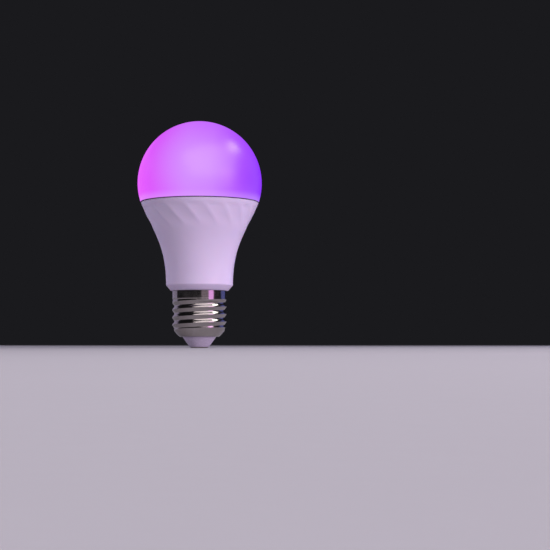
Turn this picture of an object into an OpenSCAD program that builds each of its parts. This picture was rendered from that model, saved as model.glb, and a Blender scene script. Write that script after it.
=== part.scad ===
// Smart light bulb: opal dome, fluted plastic housing, metal screw cap, and the
// light board, radio board and power supply that they hold.
// Millimetres. The origin is the centre of the contact tip, and +Z runs up to the dome.

/* [Overall] */
// Diameter of the dome
bulb_d = 60; // [58:0.5:75]
// Length from the contact tip to the top of the dome
bulb_l = 109.6; // [106:0.2:140]

/* [Dome] */
// Wall of the opal dome
dome_wall = 1.2; // [0.8:0.1:2]
// Drop of the seam below the dome's centre
seam_drop = 9.2; // [7:0.1:11]
// Shadow gap between the dome and the housing
seam_gap = 0.25; // [0.1:0.05:0.5]
// Depth of the skirt that plugs into the housing
skirt_h = 3.45; // [2.8:0.05:5]
// Wall of the skirt
skirt_wall = 1.1; // [0.8:0.1:1.6]

/* [Housing] */
// Wall of the plastic housing
housing_wall = 1.5; // [1:0.1:2]
// Diameter of the neck, just above its foot chamfer
neck_d = 32.2; // [31:0.2:36]
// Width of the foot chamfer
foot_chamfer_w = 2.2; // [1:0.1:2.6]
// Height of the foot chamfer
foot_chamfer_h = 2.45; // [1:0.05:4]
// Lean of the housing wall at the rim, in degrees from the vertical
flare_angle = 21; // [15:1:25]
// Number of twisted flutes below the rim
flute_count = 18; // [12:1:30]
// Depth of a flute at its middle
flute_depth = 0.4; // [0.1:0.05:0.6]
// Height of the fluted band
flute_h = 13; // [8:0.5:16]
// Turn of a flute from the top of the band to its bottom, in degrees
flute_turn = 23; // [0:1:40]

/* [Screw cap] */
// Diameter over the thread's crests
thread_major_d = 26.2; // [24:0.05:27]
// Radial depth of the thread
thread_depth = 0.85; // [0.5:0.05:1.1]
// Pitch of the thread, seven turns to the inch
thread_pitch = 3.629; // [3:0.001:4.5]
// Thickness of the cap's sheet metal
sheet = 0.3; // [0.2:0.05:0.5]
// Length from the contact tip to the cap's upper rim
cap_l = 27.5; // [27:0.1:32]
// Length of the smooth collar above the thread
collar_h = 3.8; // [3:0.1:6]
// Wall of the threaded plastic neck inside the cap
neck_wall = 1.3; // [1:0.1:1.7]

/* [Contact] */
// Diameter of the contact's head
contact_d = 8.6; // [7:0.1:9]
// Thickness of the contact's head
contact_t = 0.8; // [0.6:0.1:1.2]

/* [Light board] */
// Thickness of the aluminium light board
board_t = 1.2; // [1:0.1:1.6]
// Thickness of the thermal pad
pad_t = 0.5; // [0.3:0.1:1]
// Wall of the aluminium heat spreader
spreader_wall = 1.1; // [0.8:0.1:1.6]
// Number of white light packages
white_count = 18; // [12:3:18]
// Number of colour light packages
colour_count = 6; // [3:3:6]
// Number of screws that hold the light board
screw_count = 3; // [3:3:6]

/* [Power supply] */
// Thickness of the driver board
driver_t = 1.2; // [1:0.1:1.6]
// Diameter of the bulk capacitor
bulk_cap_d = 10; // [8:0.5:10.5]
// Length of the bulk capacitor
bulk_cap_l = 16; // [12:0.5:16.5]
// Diameter of the output capacitor
output_cap_d = 8; // [6.3:0.1:8.5]
// Length of the output capacitor
output_cap_l = 11.5; // [9:0.5:12]

/* [Hidden] */
$fn = 64;

// Clearances
fit = 0.1;
slide_fit = 0.2;
lay = 0.3;
solder_gap = 1.1;

// Dome and seam
dome_r = bulb_d / 2;
dome_z = bulb_l - dome_r;
seam_z = dome_z - seam_drop;
seam_r = sqrt(pow(dome_r, 2) - pow(seam_drop, 2));
snap_h = 0.9;
snap_d = 0.3;

// Housing outline
rim_z = seam_z - seam_gap;
rim_r = seam_r - 0.15;
rim_round = 0.35;
foot_z = cap_l + foot_chamfer_h + 0.1;
seat_z = foot_z - foot_chamfer_h;
neck_r = neck_d / 2;
seat_r = neck_r - foot_chamfer_w;
rim_pull = 0.354 * (rim_z - foot_z);
neck_pull = 0.515 * (rim_z - foot_z);
outline_steps = 26;
flute_top = rim_z - 1.2;
flute_start = 12;

// Control points of the housing's side, from the rim down to the foot, as [radius, height]
flare = [
    [rim_r, rim_z],
    [rim_r - rim_pull * sin(flare_angle), rim_z - rim_pull * cos(flare_angle)],
    [neck_r, foot_z + neck_pull],
    [neck_r, foot_z]
];

// Skirt and its socket in the housing
spreader_top = seam_z - skirt_h - 0.35;
skirt_r = bore_at(spreader_top) + 0.3;
socket_r = skirt_r + slide_fit;
skirt_bore = skirt_r - skirt_wall;

// Cap
thread_r = thread_major_d / 2;
thread_top = cap_l - collar_h;
shoulder_h = 3.9;
tip_h = 4.85;
lip_z = tip_h + 0.55;
thread_bottom = lip_z + shoulder_h;
cap_hole_r = thread_r - 4.7;
thread_sides = 36;
rings_per_pitch = 8;
run_out = 1.8;
joint = 0.1;
overlap = 0.3;
neck_thread_r = thread_r - sheet - fit;
neck_core_r = neck_thread_r - thread_depth - lay;
neck_bore = neck_core_r + lay + 0.05 - neck_wall;
neck_end = thread_bottom + 0.1;

// Contact and insulator
insulator_z = 0.5;
insulator_wall = 1.3;
contact_r = contact_d / 2;
shank_r = 1.5;
boss_top = 4.6;
rivet_r = 2.2;
rivet_h = 0.7;

// Light board
pad_z = spreader_top;
board_z = pad_z + pad_t;
board_top = board_z + board_t;
board_r = skirt_bore - lay - 0.05;
ledge_t = 1.4;
ledge_bore = board_r - 8.8;
screw_r = 1.2;
screw_ring = board_r - 4.5;
white_ring = board_r - 8.5;
colour_ring = board_r - 13.7;
screw_l = 5;
head_h = 1.5;
head_r = 2.1;

// Driver board
driver_y = 2.6;
driver_front = driver_y - driver_t / 2;
driver_back = driver_y + driver_t / 2;
driver_z = neck_end + 1.9;
driver_top = board_z - 5.6;
driver_step = seat_z + 1.8;
driver_low_w = 2 * sqrt(pow(neck_bore, 2) - pow(driver_back + 0.6, 2)) - 1;
driver_high_w = 24.4;

// Pins to the light board
header_y = driver_back + 0.35;
header_pins = 6;
header_pitch = 1.5;
pin_w = 0.6;

// Radio board
radio_y = -1.2;
radio_t = 0.8;
radio_w = 14;
radio_z = driver_top - 6.5;
radio_top = board_top + 15.6;
radio_pin_z = radio_z + 1.4;
radio_pin_count = 5;
radio_pin_pitch = 2;
radio_pin_x = -0.8;

// Places along the driver board
bulk_z = driver_z + 0.5;
bulk_y = driver_front - solder_gap - bulk_cap_d / 2;
transformer_z = driver_top - 17.1;
output_z = driver_top - 3.7 - output_cap_l;
output_x = 6.6;
output_y = driver_back + lay + 0.15 + output_cap_d / 2;
transformer_y = driver_front - 5.6;
choke_z = driver_top - 11.5;
choke_x = -7;
choke_r = 3.5;
choke_h = 8;
choke_y = driver_back + lay + 0.1 + choke_r;
film_low = max(driver_step + 1, bulk_z + bulk_cap_l + 2.6);
film_h = min(9, transformer_z - 5 - film_low);
film_size = [10.5, 5.2, film_h];
film_z = film_low + film_h / 2;
film_y = driver_back + lay + film_size.y / 2;
varistor_z = driver_z + 6.6;
varistor_x = 3.2;
varistor_r = 3.5;
varistor_t = 3.2;
varistor_y = driver_back + lay + varistor_t / 2;
fuse_z = driver_z + 6.7;
fuse_x = -4.5;
fuse_r = 1.6;
fuse_l = 9;
fuse_y = driver_back + lay + fuse_r;
low_chip_z = driver_step + 3.4;
dimming_z = driver_step + 0.3 * (output_z - driver_step) + 2.13;
resistor_z = driver_top - 8.9;
capacitor_rows = [min(low_chip_z + 5.1, choke_z - 6.8), low_chip_z + 8.1, driver_top - 12.1];
lead_d = 0.6;
lead_out = 0.9;
neutral_d = 0.9;
neutral_angle = 118;

// ---- Outline and curve functions ----

function unit(v) = v / norm(v);

// A point on a cubic curve through four control points
function curve_point(c, t) =
    pow(1 - t, 3) * c[0] + 3 * pow(1 - t, 2) * t * c[1]
    + 3 * (1 - t) * t * t * c[2] + pow(t, 3) * c[3];

// The direction of that curve
function curve_slope(c, t) =
    pow(1 - t, 2) * (c[1] - c[0]) + 2 * (1 - t) * t * (c[2] - c[1]) + t * t * (c[3] - c[2]);

// The housing's side, moved inwards by a depth at right angles to the surface
function side_line(depth) = [
    for (i = [0:outline_steps])
        let (
            t = i / outline_steps,
            d = unit(curve_slope(flare, t))
        )
        curve_point(flare, t) + depth * [d.y, -d.x]
];

// Radius of a line of [radius, height] points at one height
function radius_at(line, z) = lookup(z, [for (p = line) [p.y, p.x]]);

// Radius of the housing's inner wall at one height
function bore_at(z) = radius_at(side_line(housing_wall), z);

// The points of a line that lie between two heights, closed off exactly at both
function clipped(line, low, high) = concat(
    [[radius_at(line, high), high]],
    [for (p = line) if (p.y < high - 0.05 && p.y > low + 0.05) p],
    [[radius_at(line, low), low]]
);

function reversed(list) = [for (i = [len(list) - 1:-1:0]) list[i]];

// ---- Polyhedron helpers ----

// Faces that join rings of n points in order. A closed set joins its last ring to its first
// one, and an open set gets a cap at each end.
function ring_faces(rings, n, closed) = concat(
    [for (i = [0:rings - (closed ? 1 : 2)], j = [0:n - 1], half = [0, 1])
        let (
            a = i * n + j,
            b = i * n + (j + 1) % n,
            c = ((i + 1) % rings) * n + (j + 1) % n,
            d = ((i + 1) % rings) * n + j
        )
        half == 0 ? [a, c, b] : [a, d, c]],
    closed ? [] : [
        [for (j = [0:n - 1]) j],
        [for (j = [n - 1:-1:0]) (rings - 1) * n + j]
    ]
);

// Depth of a right-hand rounded thread at one height and angle, from 0 to 1. Its groove runs
// out at the top and its crest runs out at the bottom.
function thread_wave(z, a) =
    let (
        wave = (1 - cos(a - 360 * (z - thread_bottom) / thread_pitch)) / 2,
        above = min(1, max(0, (thread_top - z) / run_out)),
        below = min(1, max(0, (z - thread_bottom) / run_out))
    )
    1 - below * (1 - above * wave);

// Both ends of a threaded tube are drawn in a little, so that they lie within the plain
// walls that they join.
function thread_radius(crest, z, a) =
    let (from_end = min(thread_top - z, z - thread_bottom))
    crest - thread_depth * thread_wave(z, a) - joint * max(0, 1 - from_end / 0.8);

thread_rings = ceil((thread_top - thread_bottom) / thread_pitch * rings_per_pitch);

function thread_ring(crest, i, threaded) = [
    for (j = [0:thread_sides - 1])
        let (
            z = thread_bottom + (thread_top - thread_bottom) * i / thread_rings,
            out = i == 0 ? -overlap : i == thread_rings ? overlap : 0,
            a = 360 * j / thread_sides,
            r = threaded ? thread_radius(crest, z, a) : crest
        )
        [r * cos(a), r * sin(a), z + out]
];

// A threaded tube between two surfaces. Its inner one is threaded or plain.
module thread_tube(outer, inner, inner_threaded) {
    inner_rings = inner_threaded ? [thread_rings:-1:0] : [thread_rings, 0];
    rings = concat(
        [for (i = [0:thread_rings]) thread_ring(outer, i, true)],
        [for (i = inner_rings) thread_ring(inner, i, inner_threaded)]
    );
    polyhedron(
        points = [for (ring = rings, p = ring) p],
        faces = ring_faces(len(rings), thread_sides, true),
        convexity = 10
    );
}

// A path through the given points with its corners rounded
function rounded_path(points, bend) = concat(
    [points[0]],
    [for (i = [1:len(points) - 2], t = [0:0.25:1])
        let (
            back = unit(points[i - 1] - points[i]),
            on = unit(points[i + 1] - points[i]),
            a = points[i] + bend * back,
            b = points[i] + bend * on
        )
        pow(1 - t, 2) * a + 2 * t * (1 - t) * points[i] + t * t * b],
    [points[len(points) - 1]]
);

// A round wire along a path. The side direction is never parallel to the path.
module wire(points, d, bend, side = [1, 0, 0], sides = 8) {
    path = rounded_path(points, bend);
    last = len(path) - 1;
    rings = [
        for (i = [0:last])
            let (
                t = unit(path[min(i + 1, last)] - path[max(i - 1, 0)]),
                u = unit(cross(t, side)),
                v = cross(t, u)
            )
            for (j = [0:sides - 1])
                path[i] + d / 2 * (cos(360 * j / sides) * u + sin(360 * j / sides) * v)
    ];
    polyhedron(points = rings, faces = ring_faces(last + 1, sides, false));
}

// ---- Shared shapes ----

module around(count, ring, start = 0) {
    for (i = [0:count - 1])
        rotate([0, 0, start + i * 360 / count]) translate([ring, 0, 0]) children();
}

// A square-cornered block centred on x and y, standing on z = 0
module block(size) {
    translate([-size.x / 2, -size.y / 2, 0]) cube(size);
}

// A rectangle with rounded corners
module soft_rect(size, r) {
    square([size.x - 2 * r, size.y], center = true);
    square([size.x, size.y - 2 * r], center = true);
    for (x = [-1, 1], y = [-1, 1])
        translate([x * (size.x / 2 - r), y * (size.y / 2 - r)]) circle(r = r, $fn = 32);
}

// Lays a shape drawn on the XY plane flat on the driver board's front or back face,
// with its z pointing away from the board
module on_front(x, z) {
    translate([x, driver_front, z]) rotate([90, 0, 0]) children();
}

module on_back(x, z) {
    translate([x, driver_back, z]) rotate([90, 0, 180]) children();
}

// ---- Outer shells ----

module diffuser() {
    lip_top = seam_z + dome_wall;
    color([0.80, 0.42, 1.0]) {
        rotate_extrude() intersection() {
            translate([0, dome_z]) difference() {
                circle(r = dome_r, $fn = 128);
                circle(r = dome_r - dome_wall, $fn = 128);
            }
            translate([0, seam_z]) square([dome_r + 1, bulb_l]);
        }
        rotate_extrude() polygon([
            [skirt_bore, seam_z - skirt_h],
            [skirt_r, seam_z - skirt_h],
            [skirt_r, seam_z - skirt_h + snap_h],
            [skirt_r + snap_d, seam_z - skirt_h + 1.5 * snap_h],
            [skirt_r, seam_z - skirt_h + 2 * snap_h],
            [skirt_r, seam_z],
            [seam_r - 0.4, seam_z],
            [seam_r - 0.4, seam_z + 0.5],
            [seam_r - dome_wall, lip_top],
            [skirt_bore + 0.4, lip_top],
            [skirt_bore, lip_top - 0.4]
        ]);
    }
}

module diffuser_seal() {
    color([0.28, 0.27, 0.31]) rotate_extrude() polygon([
        [skirt_r + 0.05, rim_z - 0.8],
        [skirt_r + 0.3, rim_z - 0.8],
        [skirt_r + 0.95, rim_z - 0.1],
        [skirt_r + 0.95, seam_z - 0.02],
        [skirt_r + 0.05, seam_z - 0.02]
    ]);
}

// The hollow of the housing, from the bore of its neck up to the socket of the dome's skirt
module housing_cavity() {
    floor_z = seat_z + 3.2;
    side = clipped(side_line(housing_wall), floor_z + 1.2, spreader_top);
    snap_z = seam_z - skirt_h + snap_h;
    rotate_extrude() polygon(concat(
        [
            [0, neck_end - 1],
            [neck_bore, neck_end - 1],
            [neck_bore, floor_z - 2.6],
            [radius_at(side, floor_z + 1.2) - 0.6, floor_z]
        ],
        reversed(side),
        [
            [socket_r, spreader_top],
            [socket_r, snap_z - 0.1],
            [socket_r + snap_d, snap_z + snap_h / 2],
            [socket_r, snap_z + snap_h + 0.1],
            [socket_r, rim_z - 0.95],
            [socket_r + 0.95, rim_z],
            [socket_r + 0.95, rim_z + 1],
            [0, rim_z + 1]
        ]
    ));
}

// Depth of the flutes at a height and at an angle across one flute
function flute_cut(z, share) =
    let (
        along = (flute_top - z) / flute_h,
        bulge = along > 0 && along < 1 ? sin(180 * pow(along, 0.6)) : 0
    )
    flute_depth * bulge * (1 - pow(2 * share - 1, 2));

flute_sides = 4 * flute_count;

// The housing's skin as rings of [height, radius], from its seat on the cap up to the rim
band_steps = 10;
neck_steps = 8;
band_foot = flute_top - flute_h;
skin = concat(
    [[seat_z, seat_r], [foot_z, neck_r - 0.12], [foot_z + 0.4, neck_r]],
    [for (i = [1:neck_steps])
        let (z = foot_z + 0.4 + (band_foot - foot_z - 0.4) * i / neck_steps)
        [z, radius_at(side_line(0), z)]],
    [for (i = [1:band_steps])
        let (z = band_foot + flute_h * i / band_steps)
        [z, radius_at(side_line(0), z)]],
    [[rim_z - rim_round, rim_r - 0.02], [rim_z, rim_r - rim_round]]
);

// One ring of the skin. It is turned with its height, so that the edges of the flutes
// follow the same points all the way down.
function skin_ring(z, radius) = [
    for (j = [0:flute_sides - 1])
        let (
            along = max(0, min(1, (flute_top - z) / flute_h)),
            a = flute_start + 360 * j / flute_sides + flute_turn * along,
            r = radius - flute_cut(z, (j % 4) / 4)
        )
        [r * cos(a), r * sin(a), z]
];

module housing_body() {
    polyhedron(
        points = [for (ring = skin, p = skin_ring(ring[0], ring[1])) p],
        faces = ring_faces(len(skin), flute_sides, false),
        convexity = 6
    );
}

// Two slotted rails in the neck that hold the edges of the driver board
module board_rails() {
    rail_w = 2.4;
    rail_h = seat_z - driver_z - 2;
    for (side = [-1, 1])
        translate([side * (driver_low_w / 2 + 0.1), 0, driver_z + 0.5]) difference() {
            translate([0, driver_y, 0]) block([rail_w, driver_t + 2.2, rail_h]);
            translate([0, driver_y, -1]) {
                translate([-side * rail_w / 2, 0, 0])
                    block([rail_w, driver_t + slide_fit, rail_h + 2]);
            }
        }
}

module neck() {
    translate([0, 0, neck_end]) cylinder(r = neck_core_r, h = seat_z + 0.6 - neck_end);
    intersection() {
        thread_tube(neck_thread_r, neck_core_r - 0.3, false);
        translate([0, 0, neck_end]) cylinder(r = thread_r, h = bulb_l);
    }
}

module housing() {
    color([0.90, 0.87, 0.92]) {
        difference() {
            union() {
                housing_body();
                neck();
            }
            housing_cavity();
            rotate([0, 0, neutral_angle]) translate([neck_bore - 1, -0.65, neck_end - 1])
                cube([4, 1.3, 8.5]);
        }
        intersection() {
            board_rails();
            translate([0, 0, neck_end]) cylinder(r = neck_bore + 0.3, h = bulb_l);
        }
    }
}

module heat_spreader() {
    low = seat_z + 9;
    outer = clipped(side_line(housing_wall + fit), low, spreader_top);
    inner = clipped(side_line(housing_wall + fit + spreader_wall), low, spreader_top - ledge_t);
    boss_h = screw_l - board_t + 0.6;
    color([0.77, 0.78, 0.80]) difference() {
        union() {
            rotate_extrude() polygon(concat(outer, reversed(inner), [
                [ledge_bore, spreader_top - ledge_t],
                [ledge_bore, spreader_top]
            ]));
            intersection() {
                translate([0, 0, spreader_top - boss_h]) around(screw_count, screw_ring, 90)
                    cylinder(r = head_r + 0.1, h = boss_h - ledge_t / 2);
                rotate_extrude() polygon(concat(outer, [[0, low], [0, spreader_top]]));
            }
        }
        translate([0, 0, spreader_top - boss_h - 1]) around(screw_count, screw_ring, 90)
            cylinder(r = screw_r + 0.02, h = boss_h + 2);
    }
}

// ---- Screw cap ----

module screw_shell() {
    root_r = thread_r - thread_depth;
    color([0.72, 0.70, 0.68]) {
        rotate_extrude() polygon([
            [cap_hole_r, lip_z],
            [cap_hole_r + 0.8, lip_z],
            [cap_hole_r + 1.3, lip_z + 0.2],
            [cap_hole_r + 1.8, lip_z + 0.65],
            [root_r - 0.25, thread_bottom - 1.2],
            [root_r, thread_bottom - 0.5],
            [root_r, thread_bottom],
            [root_r - sheet, thread_bottom],
            [root_r - sheet, thread_bottom - 0.45],
            [root_r - 0.25 - sheet, thread_bottom - 1.1],
            [cap_hole_r + 1.65, lip_z + 0.95],
            [cap_hole_r + 1.2, lip_z + 0.53],
            [cap_hole_r + 0.7, lip_z + sheet],
            [cap_hole_r, lip_z + sheet]
        ]);
        thread_tube(thread_r, thread_r - sheet, true);
        translate([0, 0, thread_top]) difference() {
            cylinder(r = thread_r, h = collar_h);
            translate([0, 0, -1]) cylinder(r = thread_r - sheet, h = collar_h + 2);
        }
    }
}

module cap_insulator() {
    cone_r = cap_hole_r - lay;
    tip_r = contact_r + 0.5;
    flange_r = neck_core_r - 0.05;
    inner_r = cone_r - insulator_wall;
    color([0.83, 0.78, 0.86]) {
        difference() {
            rotate_extrude() polygon([
                [shank_r + fit, insulator_z],
                [tip_r - 0.3, insulator_z],
                [tip_r, insulator_z + 0.3],
                [cone_r, lip_z],
                [cone_r, lip_z + sheet + fit],
                [cone_r + 0.7, lip_z + sheet + fit],
                [flange_r, thread_bottom - 1],
                [flange_r, thread_bottom],
                [flange_r - 1.2, thread_bottom],
                [inner_r, lip_z],
                [tip_r - insulator_wall, insulator_z + 1.4],
                [shank_r + 1.5, insulator_z + 1.4],
                [shank_r + 1.5, boss_top],
                [shank_r + fit, boss_top]
            ]);
            translate([0, 0, insulator_z - 1]) cylinder(r = contact_r + 0.1, h = 1 + contact_t - insulator_z);
        }
        for (a = [0:90:270]) rotate([0, 0, a])
            translate([shank_r + 1.2, -0.4, insulator_z + 1.2])
                cube([tip_r - shank_r - 2.2, 0.8, boss_top - insulator_z - 2]);
    }
}

module centre_contact() {
    color([0.78, 0.76, 0.72]) rotate_extrude() polygon([
        [0, 0],
        [contact_r - 0.35, 0],
        [contact_r - 0.1, 0.1],
        [contact_r, 0.35],
        [contact_r, contact_t],
        [shank_r, contact_t],
        [shank_r, boss_top],
        [rivet_r, boss_top],
        [rivet_r, boss_top + rivet_h / 2],
        [shank_r, boss_top + rivet_h],
        [0, boss_top + rivet_h]
    ]);
}

// ---- Light board ----

module screw_holes(r, depth) {
    translate([0, 0, -1]) around(screw_count, screw_ring, 90) cylinder(r = r, h = depth + 2);
}

module thermal_pad() {
    color([0.62, 0.66, 0.72]) translate([0, 0, pad_z]) difference() {
        cylinder(r = board_r - 0.4, h = pad_t);
        translate([0, 0, -1]) cylinder(r = ledge_bore + 0.3, h = pad_t + 2);
        screw_holes(screw_r + lay, pad_t);
    }
}

module light_board() {
    color([0.93, 0.93, 0.92]) translate([0, 0, board_z]) difference() {
        cylinder(r = board_r, h = board_t);
        screw_holes(screw_r + slide_fit, board_t);
        translate([0, radio_y, -1]) block([radio_w + 0.6, radio_t + 0.6, board_t + 2]);
        translate([0, header_y, -1])
            block([header_pins * header_pitch + 0.4, pin_w + 0.8, board_t + 2]);
        for (a = [30, 210]) rotate([0, 0, a]) translate([board_r, 0, -1]) cylinder(r = 1, h = board_t + 2);
    }
}

module board_screws() {
    color([0.70, 0.70, 0.72]) translate([0, 0, board_top]) around(screw_count, screw_ring, 90) {
        difference() {
            rotate_extrude() polygon([
                [0, 0], [head_r, 0], [head_r, head_h * 0.45], [head_r * 0.85, head_h * 0.8],
                [head_r * 0.55, head_h], [0, head_h]
            ]);
            for (a = [0, 90]) rotate([0, 0, a])
                translate([0, 0, head_h - 0.8]) block([0.5, 2.2, 1]);
        }
        translate([0, 0, -screw_l]) cylinder(r = screw_r, h = screw_l + 0.2);
    }
}

white_led = [3.5, 2.8, 0.75];
white_window = [2.3, 2.0];
colour_led = [5, 5, 1.5];
colour_window_r = 2;
led_floor = 0.25;

module white_leds() {
    translate([0, 0, board_top]) around(white_count, white_ring, 180 / white_count) children();
}

module colour_leds() {
    translate([0, 0, board_top]) around(colour_count, colour_ring, 180 / colour_count) children();
}

module white_led_frames() {
    color([0.95, 0.95, 0.93]) white_leds() difference() {
        block(white_led);
        translate([0, 0, led_floor]) linear_extrude(white_led.z) soft_rect(white_window, 0.4);
    }
}

module white_led_phosphor() {
    color([0.96, 0.83, 0.25]) white_leds() translate([0, 0, led_floor])
        linear_extrude(white_led.z - led_floor - 0.05) soft_rect(white_window - [0.04, 0.04], 0.38);
}

module colour_led_frames() {
    color([0.94, 0.94, 0.94]) colour_leds() difference() {
        block(colour_led);
        translate([0, 0, led_floor]) cylinder(r = colour_window_r, h = colour_led.z);
        translate([colour_led.x / 2, colour_led.y / 2, -1]) rotate([0, 0, 45]) block([0.9, 0.9, 4]);
    }
}

module colour_led_resin() {
    color([0.80, 0.85, 0.88]) colour_leds() translate([0, 0, led_floor])
        cylinder(r = colour_window_r - 0.02, h = colour_led.z - led_floor - 0.08);
}

module header_row(w, h) {
    for (i = [0:header_pins - 1])
        translate([(i - (header_pins - 1) / 2) * header_pitch, header_y, 0]) block([w, w, h]);
}

socket_size = [header_pins * header_pitch + 1.5, 3.6, 3.2];

module light_board_socket() {
    color([0.92, 0.90, 0.85]) difference() {
        translate([0, header_y, board_top]) block(socket_size);
        translate([0, 0, board_top - 1]) header_row(pin_w + 0.3, socket_size.z + 2);
        for (side = [-1, 1])
            translate([0, header_y + side * socket_size.y / 2, board_top + 1.2])
                block([socket_size.x - 2, 0.8, 1]);
    }
}

module light_board_pins() {
    color([0.85, 0.74, 0.45]) translate([0, 0, driver_top - 4.2])
        header_row(pin_w, board_top + socket_size.z - 0.8 - driver_top + 4.2);
}

module pin_strip() {
    color([0.16, 0.16, 0.17]) translate([0, 0, driver_top - 3.2]) difference() {
        translate([0, driver_back + 1, 0]) block([header_pins * header_pitch + 0.6, 2, 2.4]);
        translate([0, 0, -1]) header_row(pin_w + 0.02, 5);
    }
}

// ---- Radio board ----

module radio_board() {
    color([0.10, 0.30, 0.22]) difference() {
        translate([0, radio_y, radio_z]) block([radio_w, radio_t, radio_top - radio_z]);
        radio_pin_row(pin_w + 0.05);
        for (side = [-1, 1])
            translate([side * radio_w / 2, radio_y, radio_z + 5])
                rotate([90, 0, 0]) translate([0, 0, -2]) cylinder(r = 0.6, h = 4);
    }
}

module radio_pin_row(w) {
    for (i = [0:radio_pin_count - 1])
        translate([
            radio_pin_x + (i - (radio_pin_count - 1) / 2) * radio_pin_pitch - w / 2,
            radio_y - 1.4,
            radio_pin_z - w / 2
        ])
            cube([w, driver_back - radio_y + 2.3, w]);
}

module radio_pins() {
    color([0.85, 0.74, 0.45]) radio_pin_row(pin_w);
}

module radio_spacer() {
    gap = driver_front - radio_y - radio_t / 2;
    color([0.16, 0.16, 0.17]) difference() {
        translate([radio_pin_x, radio_y + radio_t / 2 + gap / 2, radio_pin_z - 1])
            block([radio_pin_count * radio_pin_pitch + 0.6, gap, 2]);
        radio_pin_row(pin_w + 0.02);
    }
}

shield_size = [11.6, 8, 1.8];

module radio_shield() {
    color([0.80, 0.81, 0.82])
        translate([0, radio_y - radio_t / 2, radio_pin_z + 2.1 + shield_size.y / 2])
            rotate([90, 0, 0]) difference() {
                linear_extrude(shield_size.z) soft_rect([shield_size.x, shield_size.y], 0.5);
                translate([0, 0, -0.2]) linear_extrude(shield_size.z)
                    soft_rect([shield_size.x - 0.4, shield_size.y - 0.4], 0.3);
                for (x = [-3:2:3]) translate([x, -2, 0]) cylinder(r = 0.4, h = 3);
            }
}

// ---- Driver board ----

module driver_outline() {
    low = driver_low_w / 2;
    high = driver_high_w / 2;
    polygon([
        [-low, driver_z], [low, driver_z], [low, driver_step], [high, driver_step + 2],
        [high, driver_top - 1], [high - 1, driver_top], [-high + 1, driver_top],
        [-high, driver_top - 1], [-high, driver_step + 2], [-low, driver_step]
    ]);
}

module driver_board() {
    color([0.13, 0.36, 0.20]) difference() {
        translate([0, driver_back, 0]) rotate([90, 0, 0])
            linear_extrude(driver_t) driver_outline();
        radio_pin_row(pin_w + 0.05);
        lead_holes();
    }
}

// Where leads pass through the driver board, as [x, z]
lead_places = concat(
    [for (s = [-1, 1]) [s * 2.5, bulk_z + bulk_cap_l + 1.9]],
    [for (s = [-1, 1]) [output_x + s * 1.75, output_z - 1.9]],
    [for (s = [-1, 1]) [s * 3.75, film_z]],
    [for (s = [-1, 1]) [varistor_x + s * 2.5, varistor_z]],
    [for (s = [-1, 1]) [fuse_x, fuse_z + s * (fuse_l / 2 + 1.3)]],
    [for (s = [-1, 1]) [choke_x + s * 2, choke_z - choke_h / 2 - 1.3]],
    [for (x = [-3, -1, 1, 3], s = [-1, 1]) [x, transformer_z + s * 4.1]]
);

module lead_holes() {
    for (p = lead_places)
        translate([p.x, driver_back + 1, p.y]) rotate([90, 0, 0])
            cylinder(r = lead_d / 2 + 0.02, h = driver_t + 2);
}

// An aluminium can, crimped near its open end and scored across its closed end
module capacitor_can(d, l) {
    r = d / 2;
    difference() {
        rotate_extrude() polygon([
            [0, 0], [r - 0.4, 0], [r, 0.4], [r, l - 2.8], [r - 0.5, l - 2.4], [r - 0.5, l - 2],
            [r, l - 1.6], [r, l - 0.3], [r - 0.3, l], [r - 1.1, l], [r - 1.1, l - 1.4], [0, l - 1.4]
        ]);
        for (a = [0, 90]) rotate([0, 0, a]) translate([0, 0, -0.1]) block([0.35, d * 0.7, 0.3]);
    }
}

// The shrunk sleeve of a can, turned in over both of its rims
module capacitor_sleeve(d, l) {
    r = d / 2 + 0.02;
    t = 0.13;
    rotate_extrude() polygon([
        [r - 1, -t - 0.02], [r + t - 0.3, -t - 0.02], [r + t, 0.3], [r + t, l - 0.2],
        [r + t - 0.3, l + t + 0.02], [r - 0.7, l + t + 0.02], [r - 0.7, l + 0.02],
        [r - 0.25, l + 0.02], [r, l - 0.28], [r, 0.38], [r - 0.38, -0.02], [r - 1, -0.02]
    ]);
}

module capacitor_bung(d, l) {
    translate([0, 0, l - 1.38]) cylinder(r = d / 2 - 1.12, h = 1.3);
}

// Places a shape drawn with its open end up at the bulk capacitor
module at_bulk() {
    translate([0, bulk_y, bulk_z]) children();
}

// Places a shape drawn with its open end up at the output capacitor, which hangs open end down
module at_output() {
    translate([output_x, output_y, output_z + output_cap_l]) rotate([180, 0, 0]) children();
}

module bulk_capacitor_can() {
    color([0.80, 0.81, 0.83]) at_bulk() capacitor_can(bulk_cap_d, bulk_cap_l);
}

module bulk_capacitor_sleeve() {
    color([0.10, 0.11, 0.16]) at_bulk() capacitor_sleeve(bulk_cap_d, bulk_cap_l);
}

module output_capacitor_can() {
    color([0.80, 0.81, 0.83]) at_output() capacitor_can(output_cap_d, output_cap_l);
}

module output_capacitor_sleeve() {
    color([0.10, 0.22, 0.16]) at_output() capacitor_sleeve(output_cap_d, output_cap_l);
}

module capacitor_bungs() {
    color([0.12, 0.12, 0.12]) {
        at_bulk() capacitor_bung(bulk_cap_d, bulk_cap_l);
        at_output() capacitor_bung(output_cap_d, output_cap_l);
    }
}

module capacitor_leads() {
    bulk_end = bulk_z + bulk_cap_l - 0.08;
    output_end = output_z + 0.08;
    color([0.80, 0.80, 0.82]) {
        for (s = [-1, 1]) wire([
            [s * 2.5, bulk_y, bulk_end],
            [s * 2.5, bulk_y, bulk_end + 1.98],
            [s * 2.5, driver_back + lead_out, bulk_end + 1.98]
        ], lead_d, 1);
        for (s = [-1, 1]) wire([
            [output_x + s * 1.75, output_y, output_end],
            [output_x + s * 1.75, output_y, output_end - 1.98],
            [output_x + s * 1.75, driver_front - lead_out, output_end - 1.98]
        ], lead_d, 1);
    }
}

// ---- Transformer, drawn about its own centre ----

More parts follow.
